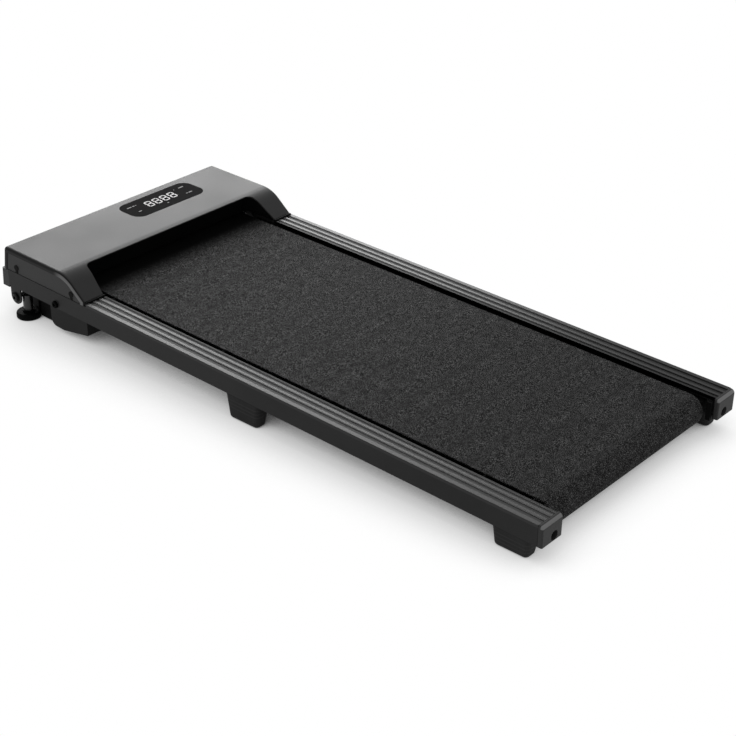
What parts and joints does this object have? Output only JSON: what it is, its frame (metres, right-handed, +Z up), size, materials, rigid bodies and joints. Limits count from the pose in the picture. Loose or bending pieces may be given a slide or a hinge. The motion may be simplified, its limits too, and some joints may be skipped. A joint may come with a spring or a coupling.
{
  "type": "walking pad",
  "caption": "Low motorised walking pad: sloped motor hood with a flush display and a toe arch, ribbed foot rails, a speckled belt on two rollers, levellers and transport wheels.",
  "frame": {"origin": "on the floor, under the middle of the machine's length and width", "axes": "+X to the walker's right, +Y forwards towards the motor hood, +Z up"},
  "size_m": [0.534, 1.233, 0.1375],
  "materials": {
    "frame_paint": "satin dark grey powder coat",
    "bumper_plastic": "fine satin, dark grey",
    "hood_plastic": "satin, dark grey",
    "cheek_plastic": "fine matt, dark grey",
    "guard_plastic": "matt black",
    "tray_plastic": "matt, dark grey",
    "rail_plastic": "satin ribs, dark grey",
    "cap_plastic": "fine matt, dark grey",
    "belt_surface": "speckled, coated weave",
    "foot_rubber": "matt black",
    "pad_plastic": "satin black",
    "wheel_rubber": "matt dark grey",
    "display_gloss": "clear gloss over black",
    "digit_white": "pale grey",
    "board_green": "circuit board",
    "dark_steel": "black oxide",
    "bright_steel": "ground",
    "cup_plastic": "moulded",
    "pulley_metal": "die cast",
    "motor_steel": "black",
    "drive_rubber": "matt black",
    "deck_wood": "dark laminated board",
    "inlet_plastic": "black"
  },
  "bodies": {
    "chassis": {"front_cross_beam": "frame_paint", "front_bumper": "bumper_plastic", "deck_cross_beams": "frame_paint", "deck_board": "deck_wood", "deck_cushions": "foot_rubber", "deck_screws": "dark_steel", "walking_belt": "belt_surface", "front_axle": "bright_steel", "front_axle_bolts": "dark_steel", "drive_belt": "drive_rubber", "motor_housing": "motor_steel", "motor_end_bells": "pulley_metal", "motor_plate": "motor_steel", "control_board": "board_green", "control_heatsink": "pulley_metal", "hood_cover": "hood_plastic", "hood_brackets": "motor_steel", "hood_screws": "dark_steel", "toe_guard": "guard_plastic", "display_lens": "display_gloss", "display_board": "board_green", "digit_block": "digit_white", "motor_tray": "tray_plastic", "wheel_axles": "dark_steel", "lock_nuts": "dark_steel", "power_inlet": "inlet_plastic", "switch_body": "inlet_plastic", "right_side_frame": "frame_paint", "left_side_frame": "frame_paint", "right_foot_rail": "rail_plastic", "left_foot_rail": "rail_plastic", "right_end_cap": "cap_plastic", "left_end_cap": "cap_plastic", "right_hood_cheek": "cheek_plastic", "left_hood_cheek": "cheek_plastic", "right_mid_foot": "foot_rubber", "left_mid_foot": "foot_rubber", "right_rear_foot": "foot_rubber", "left_rear_foot": "foot_rubber"},
    "front_roller": {"front_roller": "bright_steel", "front_roller_cups": "cup_plastic", "front_bearings": "bright_steel", "roller_pulley": "pulley_metal"},
    "rear_axle": {"rear_axle": "bright_steel"},
    "rear_roller": {"rear_roller": "bright_steel", "rear_roller_cups": "cup_plastic", "rear_bearings": "bright_steel"},
    "motor_rotor": {"motor_shaft": "bright_steel", "motor_pulley": "pulley_metal", "motor_flywheel": "motor_steel"},
    "left_tension_screw": {"left_tension_screw": "dark_steel"},
    "right_tension_screw": {"right_tension_screw": "dark_steel"},
    "left_wheel": {"left_transport_wheel": "wheel_rubber"},
    "right_wheel": {"right_transport_wheel": "wheel_rubber"},
    "left_leveller_stem": {"left_leveller_stem": "dark_steel"},
    "right_leveller_stem": {"right_leveller_stem": "dark_steel"},
    "left_leveller_pad": {"left_leveller_pad": "pad_plastic"},
    "right_leveller_pad": {"right_leveller_pad": "pad_plastic"},
    "switch_rocker": {"switch_rocker": "inlet_plastic"}
  },
  "joints": [
    {"name": "front_roller_spin", "type": "hinge", "parent": "chassis", "child": "front_roller", "pos_m": [0, 0.46176, 0.06539], "axis": [1, 0, 0], "continuous": true},
    {"name": "motor_spin", "type": "hinge", "parent": "chassis", "child": "motor_rotor", "pos_m": [0, 0.52628, 0.0878], "axis": [1, 0, 0], "continuous": true},
    {"name": "rear_axle_tension", "type": "slide", "parent": "chassis", "child": "rear_axle", "axis": [0, 0.9998, 0.0218], "range_m": [0, 0.006]},
    {"name": "rear_roller_spin", "type": "hinge", "parent": "rear_axle", "child": "rear_roller", "pos_m": [0, -0.567, 0.04294], "axis": [1, 0, 0], "continuous": true},
    {"name": "left_tension_screw_turn", "type": "hinge", "parent": "chassis", "child": "left_tension_screw", "pos_m": [-0.2303, -0.567, 0.04294], "axis": [0, 0.9998, 0.0218], "range_deg": [-2160, 0]},
    {"name": "right_tension_screw_turn", "type": "hinge", "parent": "chassis", "child": "right_tension_screw", "pos_m": [0.2303, -0.567, 0.04294], "axis": [0, 0.9998, 0.0218], "range_deg": [-2160, 0]},
    {"name": "left_leveller_travel", "type": "slide", "parent": "chassis", "child": "left_leveller_stem", "axis": [0, 0.0218, -0.9998], "range_m": [-0.007, 0.01]},
    {"name": "left_pad_turn", "type": "hinge", "parent": "left_leveller_stem", "child": "left_leveller_pad", "pos_m": [-0.244, 0.5682, 0.0005], "axis": [0, 0.0218, -0.9998], "continuous": true},
    {"name": "right_leveller_travel", "type": "slide", "parent": "chassis", "child": "right_leveller_stem", "axis": [0, 0.0218, -0.9998], "range_m": [-0.007, 0.01]},
    {"name": "right_pad_turn", "type": "hinge", "parent": "right_leveller_stem", "child": "right_leveller_pad", "pos_m": [0.244, 0.5682, 0.0005], "axis": [0, 0.0218, -0.9998], "continuous": true},
    {"name": "left_wheel_spin", "type": "hinge", "parent": "chassis", "child": "left_wheel", "pos_m": [-0.201, 0.5793, 0.04175], "axis": [1, 0, 0], "continuous": true},
    {"name": "right_wheel_spin", "type": "hinge", "parent": "chassis", "child": "right_wheel", "pos_m": [0.201, 0.5793, 0.04175], "axis": [1, 0, 0], "continuous": true},
    {"name": "power_switch_rock", "type": "hinge", "parent": "chassis", "child": "switch_rocker", "pos_m": [-0.14, 0.60375, 0.11389], "axis": [1, 0, 0], "range_deg": [0, 18]}
  ],
  "couplings": [
    {"joint": "motor_spin", "follows": "front_roller_spin", "ratio": 2.6667},
    {"joint": "rear_roller_spin", "follows": "front_roller_spin", "ratio": 1},
    {"joint": "left_tension_screw_turn", "follows": "rear_axle_tension", "rad_per_m": -6283.2},
    {"joint": "right_tension_screw_turn", "follows": "rear_axle_tension", "rad_per_m": -6283.2}
  ]
}
